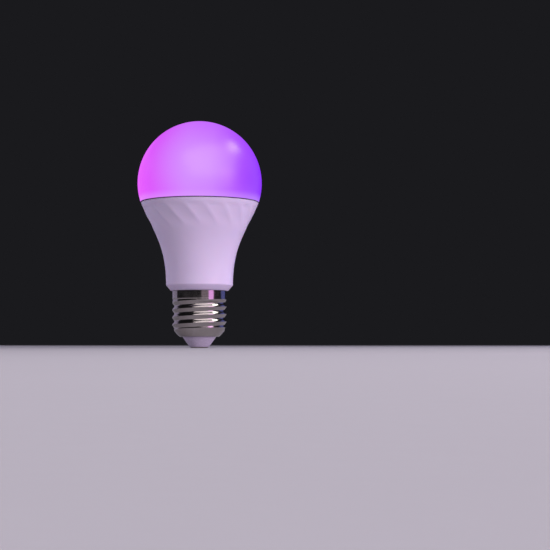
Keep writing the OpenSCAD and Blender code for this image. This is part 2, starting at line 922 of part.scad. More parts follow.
core_size = [13, 6, 12];
core_leg = 2.8;
core_side = 2.0;
core_back = 1.9;
core_gap = 0.1;

module at_transformer() {
    translate([0, transformer_y, transformer_z]) children();
}

module core_half() {
    window_w = (core_size.x - core_leg) / 2 - core_side;
    difference() {
        translate([0, 0, core_gap / 2]) block([core_size.x, core_size.y, core_size.z / 2 - core_gap / 2]);
        for (side = [-1, 1])
            translate([side * (core_leg + window_w) / 2, 0, -1])
                block([window_w, core_size.y + 2, core_size.z / 2 - core_back + 1]);
    }
}

module transformer_core() {
    color([0.17, 0.17, 0.19]) at_transformer() {
        core_half();
        mirror([0, 0, 1]) core_half();
    }
}

window_h = core_size.z - 2 * core_back;
bobbin_tube = [core_leg + 0.2, core_size.y + 0.2];
bobbin_flange = [8.8, 9.6];
bobbin_wall = 0.5;

module transformer_bobbin() {
    h = window_h - 0.1;
    near = bobbin_flange.y / 2 - 0.7;
    far = driver_front - transformer_y - lay;
    color([0.14, 0.14, 0.15]) at_transformer() difference() {
        union() {
            translate([0, 0, -h / 2])
                block([bobbin_tube.x + 2 * bobbin_wall, bobbin_tube.y + 2 * bobbin_wall, h]);
            for (z = [-h / 2, h / 2 - 0.6])
                translate([0, 0, z]) block([bobbin_flange.x, bobbin_flange.y, 0.6]);
            for (s = [-1, 1])
                translate([0, (near + far) / 2, s * 4.1 - 0.6]) block([bobbin_flange.x, far - near, 1.2]);
        }
        translate([0, 0, -h]) block([bobbin_tube.x, bobbin_tube.y, 2 * h]);
        for (x = [-3, -1, 1, 3], s = [-1, 1])
            translate([x, near - 0.1, s * 4.1]) rotate([-90, 0, 0])
                cylinder(r = lead_d / 2 + 0.02, h = far - near + 1);
    }
}

module winding_outline(grow) {
    soft_rect([8.0 + 2 * grow, 8.8 + 2 * grow], 2);
}

module transformer_winding() {
    h = window_h - 1.5;
    tube = [bobbin_tube.x + 2 * bobbin_wall + 0.1, bobbin_tube.y + 2 * bobbin_wall + 0.1];
    color([0.72, 0.42, 0.20]) at_transformer() translate([0, 0, -h / 2]) difference() {
        linear_extrude(h) winding_outline(0);
        translate([0, 0, -1]) block([tube.x, tube.y, h + 2]);
    }
}

module transformer_tape() {
    h = window_h - 2.1;
    color([0.92, 0.76, 0.20]) at_transformer() translate([0, 0, -h / 2]) difference() {
        linear_extrude(h) winding_outline(0.25);
        translate([0, 0, -1]) linear_extrude(h + 2) winding_outline(0.05);
    }
}

module transformer_pins() {
    start = transformer_y + bobbin_flange.y / 2 - 0.75;
    color([0.80, 0.80, 0.82]) for (x = [-3, -1, 1, 3], s = [-1, 1])
        translate([x, driver_back + lead_out, transformer_z + s * 4.1]) rotate([90, 0, 0])
            cylinder(r = lead_d / 2, h = driver_back + lead_out - start);
}

// ---- Choke, film capacitor, varistor and fuse resistor ----

module choke_core() {
    rim = 1.1;
    color([0.20, 0.20, 0.22]) translate([choke_x, choke_y, choke_z - choke_h / 2])
        rotate_extrude() polygon([
            [0, 0], [choke_r - 0.2, 0], [choke_r, 0.2], [choke_r, rim], [1.8, rim],
            [1.8, choke_h - rim], [choke_r, choke_h - rim], [choke_r, choke_h - 0.2],
            [choke_r - 0.2, choke_h], [0, choke_h]
        ]);
}

module choke_winding() {
    h = choke_h - 2.3;
    color([0.72, 0.42, 0.20]) translate([choke_x, choke_y, choke_z - h / 2]) difference() {
        cylinder(r = choke_r - 0.6, h = h);
        translate([0, 0, -1]) cylinder(r = 1.85, h = h + 2);
    }
}

module film_capacitor() {
    color([0.85, 0.72, 0.18]) on_back(0, film_z) translate([0, 0, lay])
        linear_extrude(film_size.y) soft_rect([film_size.x, film_size.z], 0.6);
}

module varistor() {
    edge = 0.8;
    color([0.16, 0.32, 0.62]) on_back(varistor_x, varistor_z) translate([0, 0, lay])
        rotate_extrude() polygon([
            [0, 0], [varistor_r - edge, 0], [varistor_r - 0.25, 0.3], [varistor_r, edge],
            [varistor_r, varistor_t - edge], [varistor_r - 0.25, varistor_t - 0.3],
            [varistor_r - edge, varistor_t], [0, varistor_t]
        ]);
}

module fuse_resistor() {
    color([0.35, 0.55, 0.42]) translate([fuse_x, fuse_y, fuse_z - fuse_l / 2])
        rotate_extrude() polygon([
            [0, 0], [1, 0], [fuse_r, 0.5], [fuse_r, 2], [fuse_r - 0.2, 2.5],
            [fuse_r - 0.2, fuse_l - 2.5], [fuse_r, fuse_l - 2], [fuse_r, fuse_l - 0.5],
            [1, fuse_l], [0, fuse_l]
        ]);
}

module through_hole_leads() {
    front = driver_front - lead_out;
    color([0.80, 0.80, 0.82]) {
        for (s = [-1, 1]) translate([s * 3.75, driver_back + lay, film_z]) rotate([90, 0, 0])
            cylinder(r = lead_d / 2, h = driver_t + lay + lead_out);
        for (s = [-1, 1]) translate([varistor_x + s * 2.5, driver_back + lay, varistor_z])
            rotate([90, 0, 0]) cylinder(r = lead_d / 2, h = driver_t + lay + lead_out);
        for (s = [-1, 1]) wire([
            [fuse_x, fuse_y, fuse_z + s * fuse_l / 2],
            [fuse_x, fuse_y, fuse_z + s * (fuse_l / 2 + 1.3)],
            [fuse_x, front, fuse_z + s * (fuse_l / 2 + 1.3)]
        ], lead_d, 0.8);
        for (s = [-1, 1]) wire([
            [choke_x + s * 2, choke_y, choke_z - choke_h / 2],
            [choke_x + s * 2, choke_y, choke_z - choke_h / 2 - 1.3],
            [choke_x + s * 2, front, choke_z - choke_h / 2 - 1.3]
        ], lead_d, 0.8);
    }
}

// ---- Surface-mounted parts ----

rectifier_size = [4.7, 3.9, 2.5];
switching_size = [4.9, 3.9, 1.5];
dimming_size = [9.9, 3.9, 1.5];
low_chip_x = 6.9;
dimming_x = 8.9;
chip_stand = 0.12;

// A moulded package with a notch at one end
module chip_body(size) {
    difference() {
        translate([0, 0, chip_stand]) block([size.x, size.y, size.z - chip_stand]);
        translate([-size.x / 2, 0, size.z - 0.2]) cylinder(r = 0.5, h = 1, $fn = 32);
    }
}

// Gull-wing legs along both long sides
module gull_legs(size, count, pitch) {
    w = 0.42;
    t = 0.2;
    rise = size.z / 2;
    for (i = [0:count - 1], s = [0, 180]) rotate([0, 0, s])
        translate([(i - (count - 1) / 2) * pitch - w / 2, size.y / 2, 0])
            rotate([90, 0, 90]) linear_extrude(w) polygon([
                [0, rise - t / 2], [0.45, rise - t / 2], [0.65, 0], [1.2, 0], [1.2, t],
                [0.8, t], [0.6, rise + t / 2], [0, rise + t / 2]
            ]);
}

module bridge_rectifier() {
    color([0.13, 0.13, 0.14]) on_front(-low_chip_x, low_chip_z) chip_body(rectifier_size);
}

module rectifier_legs() {
    color([0.80, 0.80, 0.82]) on_front(-low_chip_x, low_chip_z) gull_legs(rectifier_size, 2, 2.54);
}

module switching_chip() {
    color([0.13, 0.13, 0.14]) on_front(low_chip_x, low_chip_z) chip_body(switching_size);
}

module at_dimming() {
    on_back(dimming_x, dimming_z) rotate([0, 0, 90]) children();
}

module dimming_chip() {
    color([0.13, 0.13, 0.14]) at_dimming() chip_body(dimming_size);
}

module chip_legs() {
    color([0.80, 0.80, 0.82]) {
        on_front(low_chip_x, low_chip_z) gull_legs(switching_size, 4, 1.27);
        at_dimming() gull_legs(dimming_size, 8, 1.27);
    }
}

module chip_resistors() {
    color([0.12, 0.13, 0.18])
        for (x = [-9.6, -5.4, 5.4, 9.6]) on_front(x, resistor_z) block([3.1, 1.6, 0.55]);
}

module chip_capacitors() {
    color([0.62, 0.50, 0.38])
        for (x = [-9.6, 9.6], z = capacitor_rows) on_front(x, z) block([1.25, 2, 1]);
}

// ---- Wires ----

live_d = 1.4;

module live_wire() {
    top = boss_top + rivet_h;
    color([0.48, 0.26, 0.12]) wire([
        [0, 0, top],
        [0, 0, top + 2.2],
        [varistor_x, driver_back + 2.4, neck_end + 0.4],
        [varistor_x, driver_back + 2.2, driver_z + 1.6],
        [varistor_x, driver_back, driver_z + 1.6]
    ], live_d, 0.9, [1, -0.5, 0.1], 10);
}

module neutral_wire() {
    ring = thread_r - thread_depth - sheet - neutral_d / 2 - 0.02;
    out = [cos(neutral_angle), sin(neutral_angle), 0];
    pad = driver_z + 1.6;
    color([0.16, 0.30, 0.62]) wire([
        ring * out + [0, 0, neck_end + 6.5],
        ring * out + [0, 0, pad],
        (neck_bore - 1.6) * out + [0, 0, pad],
        [0, driver_back + 2.4, pad],
        [0, driver_back, pad]
    ], neutral_d, 0.6, [1, 0.4, 0.1], 10);
}

diffuser();
diffuser_seal();
housing();
heat_spreader();
screw_shell();
cap_insulator();
centre_contact();
thermal_pad();
light_board();
board_screws();
white_led_frames();
white_led_phosphor();
colour_led_frames();
colour_led_resin();
light_board_socket();
light_board_pins();
pin_strip();
radio_board();
radio_shield();
radio_pins();
radio_spacer();
driver_board();
bulk_capacitor_can();
bulk_capacitor_sleeve();
output_capacitor_can();
output_capacitor_sleeve();
capacitor_bungs();
capacitor_leads();
transformer_core();
transformer_bobbin();
transformer_winding();
transformer_tape();
transformer_pins();
choke_core();
choke_winding();
film_capacitor();
varistor();
fuse_resistor();
through_hole_leads();
bridge_rectifier();
rectifier_legs();
switching_chip();
dimming_chip();
chip_legs();
chip_resistors();
chip_capacitors();
live_wire();
neutral_wire();
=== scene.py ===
import math

import bmesh
import bpy
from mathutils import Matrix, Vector
from mathutils.geometry import interpolate_bezier


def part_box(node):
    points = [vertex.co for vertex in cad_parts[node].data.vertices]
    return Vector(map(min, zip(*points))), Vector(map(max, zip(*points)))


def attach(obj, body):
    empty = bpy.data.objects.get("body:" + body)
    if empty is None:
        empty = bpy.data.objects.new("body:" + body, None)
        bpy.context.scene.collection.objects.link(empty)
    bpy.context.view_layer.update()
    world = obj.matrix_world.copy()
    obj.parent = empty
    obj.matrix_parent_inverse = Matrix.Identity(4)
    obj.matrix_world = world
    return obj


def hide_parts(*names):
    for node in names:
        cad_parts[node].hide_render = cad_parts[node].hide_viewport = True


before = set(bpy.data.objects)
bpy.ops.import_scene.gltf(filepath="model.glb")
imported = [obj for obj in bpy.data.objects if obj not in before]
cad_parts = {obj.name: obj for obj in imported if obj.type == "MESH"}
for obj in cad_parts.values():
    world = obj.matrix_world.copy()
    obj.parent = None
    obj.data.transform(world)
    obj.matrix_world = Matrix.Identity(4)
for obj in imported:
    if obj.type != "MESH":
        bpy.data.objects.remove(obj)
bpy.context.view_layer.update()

MM = 0.001

# Sizes of the bulb in millimetres, as its drawing gives them
DOME_R, DOME_Z, DOME_WALL = 30.0, 79.6, 1.2
SEAM_Z, SEAM_R = 70.4, 28.5545
SKIRT_R, SKIRT_BORE, SKIRT_FOOT = 25.58, 24.48, 66.95
RIM_Z, RIM_R, SOCKET_R, SOCKET_Z = 70.15, 28.4045, 25.78, 66.6
FOOT_Z, SEAT_Z, NECK_R, SEAT_R = 30.05, 27.6, 16.1, 13.9
FLUTES, FLUTE_DEPTH, FLUTE_TOP, FLUTE_FOOT = 18, 0.4, 68.95, 55.95
FLUTE_START, FLUTE_TURN = 12.0, 23.0
# Control points of the curves of the housing's side and bore, as (radius, height)
SIDE = ((RIM_R, RIM_Z), (23.3173, 56.8975), (NECK_R, 50.7015), (NECK_R, FOOT_Z))
BORE = ((26.9, 70.3), (21.9, 57.4), (14.6, 51.2), (14.6, 31.8))
THREAD_R, THREAD_DEPTH, PITCH, SHEET = 13.1, 0.85, 3.629, 0.3
THREAD_FOOT, THREAD_TOP, RUN_OUT, CAP_TOP = 9.3, 23.7, 1.8, 27.5
LIP_Z, CAP_HOLE_R = 5.4, 8.4
CONTACT_R, CONTACT_T, SHANK_R, BOSS_TOP = 4.3, 0.8, 1.5, 4.6
RIVET_R, RIVET_TOP = 2.2, 5.3
NECK_CORE_R, NECK_BORE, NECK_END = 11.55, 10.6, 9.4

# The painted sheen on the dome: a pale patch across its middle, front and back alike, for the opal
# looking brighter where seen square on and for a painted reflection of the front lamp; its middle
# and its radius
PAINTED_SHEEN_X, PAINTED_SHEEN_Z, PAINTED_SHEEN_R = -3.51, 84.5, 26.0
# The height over which the dome pales towards the seam, and over which its lip goes dark
BRIM_H, LIP_H = 4.1, 0.22

# Corners closer than this are one corner
SAME_PLACE = 0.002

# A mix node's sockets share their names, so they go by number
FACTOR, NUMBER_A, NUMBER_B, COLOUR_A, COLOUR_B = 0, 2, 3, 6, 7


# ---- Making meshes ----

def draw(bm, start, *moves):
    """Draws a line in the XZ plane, in millimetres. A move is the next corner as (radius, height),
    or an arc as (centre radius, centre height, degrees turned, steps)."""
    here = bm.verts.new((start[0] * MM, 0, start[1] * MM))
    for move in moves:
        if len(move) == 2:
            there = bm.verts.new((move[0] * MM, 0, move[1] * MM))
            bm.edges.new((here, there))
            here = there
        else:
            middle_x, middle_z, degrees, steps = move
            arc = bmesh.ops.spin(bm, geom=[here], cent=(middle_x * MM, 0, middle_z * MM),
                                 axis=(0, 1, 0), dvec=(0, 0, 0), angle=math.radians(-degrees),
                                 steps=steps)
            here = [part for part in arc["geom_last"] if isinstance(part, bmesh.types.BMVert)][0]


def turn(bm, steps):
    """Spins everything drawn so far once round the bulb's axis and closes it."""
    bmesh.ops.spin(bm, geom=bm.verts[:] + bm.edges[:], cent=(0, 0, 0), axis=(0, 0, 1),
                   dvec=(0, 0, 0), angle=math.tau, steps=steps, use_merge=True)
    bmesh.ops.remove_doubles(bm, verts=bm.verts, dist=SAME_PLACE * MM)
    bmesh.ops.recalc_face_normals(bm, faces=bm.faces)


def piece(bm, name, material, replaces, soft=math.radians(35)):
    """Turns a finished bmesh into a piece of the bulb that stands for a CAD node."""
    mesh = bpy.data.meshes.new(name)
    bm.to_mesh(mesh)
    bm.free()
    mesh.materials.append(material)
    mesh.shade_smooth()
    mesh.set_sharp_from_angle(angle=soft)
    made = bpy.data.objects.new(name, mesh)
    bpy.context.scene.collection.objects.link(made)
    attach(made, "root")
    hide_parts(*replaces)


# ---- Materials ----

def linear(code):
    """Turns an sRGB hex colour such as "E6E0EA" into linear values, with an alpha of 1."""
    parts = [int(code[i:i + 2], 16) / 255 for i in (0, 2, 4)]
    return [p / 12.92 if p <= 0.04045 else ((p + 0.055) / 1.055) ** 2.4 for p in parts] + [1.0]


def add(material, kind, values=None, **settings):
    """Adds a node. Values fill or link its sockets by name or number; settings are its own."""
    tree = material.node_tree
    made = tree.nodes.new(kind)
    for key, value in settings.items():
        setattr(made, key, value)
    for key, value in (values or {}).items():
        socket = made.inputs[key]
        if isinstance(value, bpy.types.NodeSocket):
            tree.links.new(value, socket)
        else:
            socket.default_value = value
    return made


def stuff(name, colour, rough, metal=0.0, **sockets):
    """Starts a material: its name, its colour, its roughness, and the shader's other sockets."""
    material = bpy.data.materials.new(name)
    material.use_nodes = True
    shader = material.node_tree.nodes["Principled BSDF"]
    shader.inputs["Base Color"].default_value = linear(colour)
    shader.inputs["Roughness"].default_value = rough
    shader.inputs["Metallic"].default_value = metal
    for key, value in sockets.items():
        shader.inputs[key.replace("_", " ")].default_value = value
    material.diffuse_color = linear(colour)
    return material, shader


def wave_scale(spacing):
    """The scale at which a wave texture's bands lie this many millimetres apart."""
    return math.pi / (10 * spacing * MM)


def spot_on(material):
    """The place in the bulb that a material's pattern is worked out from, in metres."""
    return material.node_tree.nodes["Texture Coordinate"].outputs["Object"]


def worn(material, shader, pale, dark, rough, grain, depth, blotch=6.0):
    """Gives a surface its small differences: two shades in soft blotches, a roughness that
    wanders between two values, and a fine grain. Sizes are in millimetres."""
    link = material.node_tree.links.new
    place = add(material, "ShaderNodeTexCoord").outputs["Object"]
    cloud = add(material, "ShaderNodeTexNoise",
                {"Vector": place, "Scale": 1 / (blotch * MM), "Detail": 3.0})
    shade = add(material, "ShaderNodeMix",
                {FACTOR: cloud.outputs[0], COLOUR_A: linear(pale), COLOUR_B: linear(dark)},
                data_type="RGBA")
    link(shade.outputs[2], shader.inputs["Base Color"])
    fine = add(material, "ShaderNodeTexNoise",
               {"Vector": place, "Scale": 1 / (grain * MM), "Detail": 4.0})
    gloss = add(material, "ShaderNodeMapRange",
                {"Value": fine.outputs[0], "From Min": 0.25, "From Max": 0.75, "To Min": rough[0],
                 "To Max": rough[1]})
    link(gloss.outputs[0], shader.inputs["Roughness"])
    bump = add(material, "ShaderNodeBump",
               {"Height": fine.outputs[0], "Distance": depth * MM, "Strength": 0.6})
    link(bump.outputs[0], shader.inputs["Normal"])


def lit_opal_polycarbonate():
    # Opal polycarbonate, injection moulded and lit from inside: an even glow with no lamp in
    # sight, pink on one side and violet on the other where two colours of light mix in it, and
    # a faint sheen from its satin skin.
    material, shader = stuff("lit_opal_polycarbonate", "3C2450", 0.32, IOR=1.58,
                             Emission_Strength=0.96)
    link = material.node_tree.links.new
    place = add(material, "ShaderNodeTexCoord").outputs["Object"]
    axes = add(material, "ShaderNodeSeparateXYZ", {"Vector": place}).outputs
    # Light mixes unevenly over about 25 mm
    drift = add(material, "ShaderNodeTexNoise",
                {"Vector": place, "Scale": 1 / (25 * MM), "Detail": 1.0})
    wander = add(material, "ShaderNodeMapRange",
                 {"Value": drift.outputs[0], "From Min": 0.3, "From Max": 0.7, "To Min": -1.5 * MM,
                  "To Max": 1.5 * MM})
    across = add(material, "ShaderNodeMath", {0: axes[0], 1: wander.outputs[0]}, operation="ADD")
    share = add(material, "ShaderNodeMapRange",
                {"Value": across.outputs[0], "From Min": -DOME_R * MM, "From Max": DOME_R * MM})
    # The glow runs from pink to violet across the dome; the paler lavender middle of this ramp is
    # painted sheen as well
    glow = add(material, "ShaderNodeValToRGB", {"Fac": share.outputs[0]})
    ramp = glow.color_ramp
    for spot, code in ((0.22, "D658FC"), (0.40, "CC6CFD"), (0.60, "C268FE"), (0.78, "AC4CFD")):
        ramp.elements.new(spot).color = linear(code)
    ramp.elements[0].color = linear("E63EFA")
    ramp.elements[-1].color = linear("8828FB")
    # Painted sheen: a pale patch across the middle of the dome, front and back alike, for the opal
    # looking brighter where seen square on and for a painted reflection of the front lamp
    middle = add(material, "ShaderNodeMapping",
                 {"Vector": place, "Location": (-PAINTED_SHEEN_X / PAINTED_SHEEN_R, 0, -PAINTED_SHEEN_Z / PAINTED_SHEEN_R),
                  "Scale": (1 / (PAINTED_SHEEN_R * MM), 0, 1 / (PAINTED_SHEEN_R * MM))})
    sheen_patch = add(material, "ShaderNodeTexGradient",
               {"Vector": middle.outputs[0]}, gradient_type="SPHERICAL")
    soft_sheen = add(material, "ShaderNodeMapRange",
                    {"Value": sheen_patch.outputs[1], "From Max": 0.9, "To Max": 0.38},
                    interpolation_type="SMOOTHSTEP")
    sheened_glow = add(material, "ShaderNodeMix",
               {FACTOR: soft_sheen.outputs[0], COLOUR_A: glow.outputs[0],
                COLOUR_B: linear("DBB4FF")}, data_type="RGBA")
    # Just above the seam the dome sits closest to the light board and is palest
    brim = add(material, "ShaderNodeMapRange",
               {"Value": axes[2], "From Min": (SEAM_Z + BRIM_H) * MM, "From Max": SEAM_Z * MM,
                "To Max": 0.30}, interpolation_type="SMOOTHSTEP")
    pale = add(material, "ShaderNodeMix",
               {FACTOR: brim.outputs[0], COLOUR_A: sheened_glow.outputs[2], COLOUR_B: linear("E3B4FF")},
               data_type="RGBA")
    # The lip and the skirt sit below the light board, in the housing's socket, and stay dark
    lip = add(material, "ShaderNodeMapRange",
              {"Value": axes[2], "From Min": SEAM_Z * MM, "From Max": (SEAM_Z + LIP_H) * MM})
    lit = add(material, "ShaderNodeMix",
              {FACTOR: lip.outputs[0], COLOUR_A: linear("000000"), COLOUR_B: pale.outputs[2]},
              data_type="RGBA")
    link(lit.outputs[2], shader.inputs["Emission Color"])
    # A satin skin of about 0.4 mm grain
    fine = add(material, "ShaderNodeTexNoise",
               {"Vector": place, "Scale": 1 / (0.4 * MM), "Detail": 2.0})
    satin = add(material, "ShaderNodeMapRange",
                {"Value": fine.outputs[0], "From Min": 0.3, "From Max": 0.7, "To Min": 0.29,
                 "To Max": 0.36})
    link(satin.outputs[0], shader.inputs["Roughness"])
    bump = add(material, "ShaderNodeBump",
               {"Height": fine.outputs[0], "Distance": 0.004 * MM, "Strength": 0.5})
    link(bump.outputs[0], shader.inputs["Normal"])
    return material


def moulded_white_pbt():
    # White PBT polyester, injection moulded in a spark-eroded tool: soft satin with a grain that
    # is only just there, and a slight lilac cast.
    material, shader = stuff("moulded_white_pbt", "DCCDE9", 0.38, IOR=1.55)
    worn(material, shader, "DFD1EB", "D6C6E4", (0.33, 0.44), 0.35, 0.006, blotch=18.0)
    shader.inputs["Subsurface Weight"].default_value = 0.08
    shader.inputs["Subsurface Scale"].default_value = 2 * MM
    return material


def nickel_plated_brass(name, pale, dark, rough):
    # Nickel-plated brass, drawn and rolled: bright with a warm grey tint, with faint rings round
    # the axis from the rolling and small differences in gloss where it has been handled.
    material, shader = stuff(name, pale, rough, 1.0)
    link = material.node_tree.links.new
    place = add(material, "ShaderNodeTexCoord").outputs["Object"]
    flat = add(material, "ShaderNodeMapping", {"Vector": place, "Scale": (0.02, 0.02, 1.0)})
    rings = add(material, "ShaderNodeTexNoise",
                {"Vector": flat.outputs[0], "Scale": 1 / (0.25 * MM), "Detail": 3.0})
    cloud = add(material, "ShaderNodeTexNoise",
                {"Vector": place, "Scale": 1 / (5 * MM), "Detail": 4.0})
    tint = add(material, "ShaderNodeMix",
               {FACTOR: cloud.outputs[0], COLOUR_A: linear(pale), COLOUR_B: linear(dark)},
               data_type="RGBA")
    link(tint.outputs[2], shader.inputs["Base Color"])
    smear = add(material, "ShaderNodeMapRange",
                {"Value": cloud.outputs[0], "From Min": 0.3, "From Max": 0.75, "To Min": rough,
                 "To Max": rough + 0.08})
    link(smear.outputs[0], shader.inputs["Roughness"])
    bump = add(material, "ShaderNodeBump",
               {"Height": rings.outputs[0], "Distance": 0.003 * MM, "Strength": 0.4})
    link(bump.outputs[0], shader.inputs["Normal"])
    return material


def plastic(name, pale, dark, rough, grain=0.3, depth=0.01, ior=1.5):
    # A moulded plastic: satin, with a fine tool grain and hardly any change of shade
    material, shader = stuff(name, pale, rough, IOR=ior)
    worn(material, shader, pale, dark, (rough - 0.05, rough + 0.08), grain, depth)
    return material


def metal(name, pale, dark, rough, grain=0.2, depth=0.004):
    # A bare or plated metal: its tint drifts a little and its gloss breaks up finely
    material, shader = stuff(name, pale, rough, 1.0)
    worn(material, shader, pale, dark, (rough - 0.05, rough + 0.12), grain, depth, blotch=3.0)
    return material


# ---- Pieces of the outside ----

def opal_dome():
    bm = bmesh.new()
    inner = DOME_R - DOME_WALL
    lip = SEAM_Z + DOME_WALL
    low = math.degrees(math.asin((SEAM_Z + 0.25 - DOME_Z) / DOME_R))
    inner_low = math.degrees(math.asin((lip - DOME_Z) / inner))
    inner_x = inner * math.cos(math.radians(inner_low))
    draw(bm, (0, DOME_Z + DOME_R), (0, DOME_Z, -(90 - low), 72), (SEAM_R - 0.02, SEAM_Z + 0.08),
         (SEAM_R - 0.15, SEAM_Z), (SKIRT_R, SEAM_Z), (SKIRT_R, SKIRT_FOOT + 1.8),
         (SKIRT_R + 0.3, SKIRT_FOOT + 1.35), (SKIRT_R, SKIRT_FOOT + 0.9),
         (SKIRT_R, SKIRT_FOOT + 0.1), (SKIRT_R - 0.1, SKIRT_FOOT), (SKIRT_BORE + 0.1, SKIRT_FOOT),
         (SKIRT_BORE, SKIRT_FOOT + 0.1), (SKIRT_BORE, lip - 0.4), (SKIRT_BORE + 0.4, lip),
         (inner_x, lip), (0, DOME_Z, 90 - inner_low, 56))
    turn(bm, 144)
    piece(bm, "opal_dome", lit_opal_polycarbonate(), ["diffuser"])


def smooth(x):
    """Rises gently from 0 to 1 as x does, and stays there beyond."""
    x = max(0.0, min(1.0, x))
    return x * x * (3 - 2 * x)


def fluted_housing():
    bm = bmesh.new()
    side = interpolate_bezier(*[Vector((r, 0, z)) for r, z in SIDE], 90)
    side = [(p.x, p.z) for p in side if FOOT_Z + 0.45 < p.z < RIM_Z - 0.4]
    inner = interpolate_bezier(*[Vector((r, 0, z)) for r, z in BORE], 40)
    inner = [(p.x, p.z) for p in inner if p.z < SOCKET_Z - 0.3]

    def outline(z):
        """The housing's outer radius at a height, or far out where there is none to cut."""
        return max([r for r, h in side if h <= z + 0.001], default=99)

    draw(bm, (NECK_BORE, NECK_END), (NECK_CORE_R, NECK_END), (NECK_CORE_R, SEAT_Z),
         (SEAT_R - 0.1, SEAT_Z), (SEAT_R + 0.06, SEAT_Z + 0.08), (NECK_R - 0.18, FOOT_Z - 0.06),
         (NECK_R - 0.04, FOOT_Z + 0.12), (NECK_R, FOOT_Z + 0.4), *reversed(side),
         (RIM_R - 0.06, RIM_Z - 0.28), (RIM_R - 0.16, RIM_Z - 0.1), (RIM_R - 0.34, RIM_Z),
         (SOCKET_R + 0.95, RIM_Z), (SOCKET_R, RIM_Z - 0.95), (SOCKET_R, SOCKET_Z),
         (25.35, SOCKET_Z), *inner, (14.0, 30.8), (NECK_BORE, 28.2), (NECK_BORE, NECK_END))
    turn(bm, 8 * FLUTES)
    # The flutes are facets between swept edges, cut into the round. Every ring is turned by the
    # sweep at its height, so that the facets' edges follow the rows of vertices.
    for vert in bm.verts:
        x, y, z = vert.co / MM
        radius, angle = math.hypot(x, y), math.atan2(y, x)
        along = max(0.0, min(1.0, (FLUTE_TOP - z) / (FLUTE_TOP - FLUTE_FOOT)))
        if radius > outline(z) - 0.1:
            across = (angle / math.tau * FLUTES) % 1.0
            fade = smooth(along / 0.2) * smooth((1 - along) / 0.5)
            radius -= FLUTE_DEPTH * (1 - (2 * across - 1) ** 2) * fade
        angle += math.radians(FLUTE_START + FLUTE_TURN * along)
        vert.co = Vector((radius * math.cos(angle), radius * math.sin(angle), z)) * MM
    piece(bm, "fluted_housing", moulded_white_pbt(), ["housing"])


def wave(z, angle):
    """Depth of the rounded right-hand thread, from 0 to 1, at a height and an angle. It runs out
    at each end."""
    turned = (1 - math.cos(angle - math.tau * (z - THREAD_FOOT) / PITCH)) / 2
    above = max(0.0, min(1.0, (THREAD_TOP - z) / RUN_OUT))
    below = max(0.0, min(1.0, (z - THREAD_FOOT) / RUN_OUT))
    return 1 - below * (1 - above * turned)


def threaded_shell():
    bm = bmesh.new()
    root = THREAD_R - THREAD_DEPTH
    steps = 110
    rise = (THREAD_TOP - THREAD_FOOT) / steps
    up = [(THREAD_R, THREAD_FOOT + rise * i) for i in range(steps + 1)]
    down = [(THREAD_R - SHEET, z) for r, z in reversed(up)]
    draw(bm, (CAP_HOLE_R, LIP_Z + 0.06), (CAP_HOLE_R + 0.06, LIP_Z), (CAP_HOLE_R + 0.8, LIP_Z),
         (CAP_HOLE_R + 1.1, LIP_Z + 0.07), (CAP_HOLE_R + 1.4, LIP_Z + 0.27),
         (CAP_HOLE_R + 1.8, LIP_Z + 0.66), (root - 0.42, THREAD_FOOT - 1.42),
         (root - 0.2, THREAD_FOOT - 1.08), (root - 0.06, THREAD_FOOT - 0.75),
         (root, THREAD_FOOT - 0.4), (THREAD_R, THREAD_FOOT), *up[1:], (THREAD_R, THREAD_TOP + 0.12),
         (THREAD_R, THREAD_TOP + 0.5), (THREAD_R, CAP_TOP - 0.4), (THREAD_R, CAP_TOP - 0.08),
         (THREAD_R - 0.08, CAP_TOP), (THREAD_R - SHEET, CAP_TOP), *down,
         (root - SHEET, THREAD_FOOT - 0.4), (root - SHEET - 0.25, THREAD_FOOT - 1.05),
         (CAP_HOLE_R + 1.65, LIP_Z + 0.98), (CAP_HOLE_R + 1.15, LIP_Z + 0.5),
         (CAP_HOLE_R + 0.7, LIP_Z + SHEET), (CAP_HOLE_R, LIP_Z + SHEET), (CAP_HOLE_R, LIP_Z + 0.06))
    turn(bm, 160)
    for vert in bm.verts:
        x, y, z = vert.co / MM
        radius = math.hypot(x, y)
        if THREAD_FOOT - 0.01 < z < THREAD_TOP + 0.01 and radius > root:
            angle = math.atan2(y, x)
            radius -= THREAD_DEPTH * wave(z, angle)
            vert.co = Vector((radius * math.cos(angle), radius * math.sin(angle), z)) * MM
    material = nickel_plated_brass("nickel_plated_brass", "B9B4AF", "A8A19A", 0.11)
    piece(bm, "threaded_shell", material, ["screw_shell"])


def insulator_cone():
    bm = bmesh.new()
    cone, tip, flange = CAP_HOLE_R - 0.3, CONTACT_R + 0.5, NECK_CORE_R - 0.05
    draw(bm, (SHANK_R + 0.1, 0.82), (CONTACT_R + 0.1, 0.82), (CONTACT_R + 0.1, 0.5),
         (tip - 0.25, 0.5), (tip - 0.08, 0.57), (tip + 0.02, 0.72), (cone - 0.12, LIP_Z - 0.25),
         (cone, LIP_Z), (cone, LIP_Z + 0.4), (cone + 0.7, LIP_Z + 0.4), (flange, THREAD_FOOT - 1),
         (flange, THREAD_FOOT), (flange - 1.2, THREAD_FOOT), (cone - 1.3, LIP_Z), (tip - 1.3, 1.9),
         (SHANK_R + 1.5, 1.9), (SHANK_R + 1.5, BOSS_TOP), (SHANK_R + 0.1, BOSS_TOP),
         (SHANK_R + 0.1, 0.82))
    turn(bm, 96)
    material = plastic("glazed_urea_moulding", "BFB3C8", "B2A6BB", 0.26,
                       grain=0.5, depth=0.006, ior=1.6)
    piece(bm, "insulator_cone", material, ["cap_insulator"])


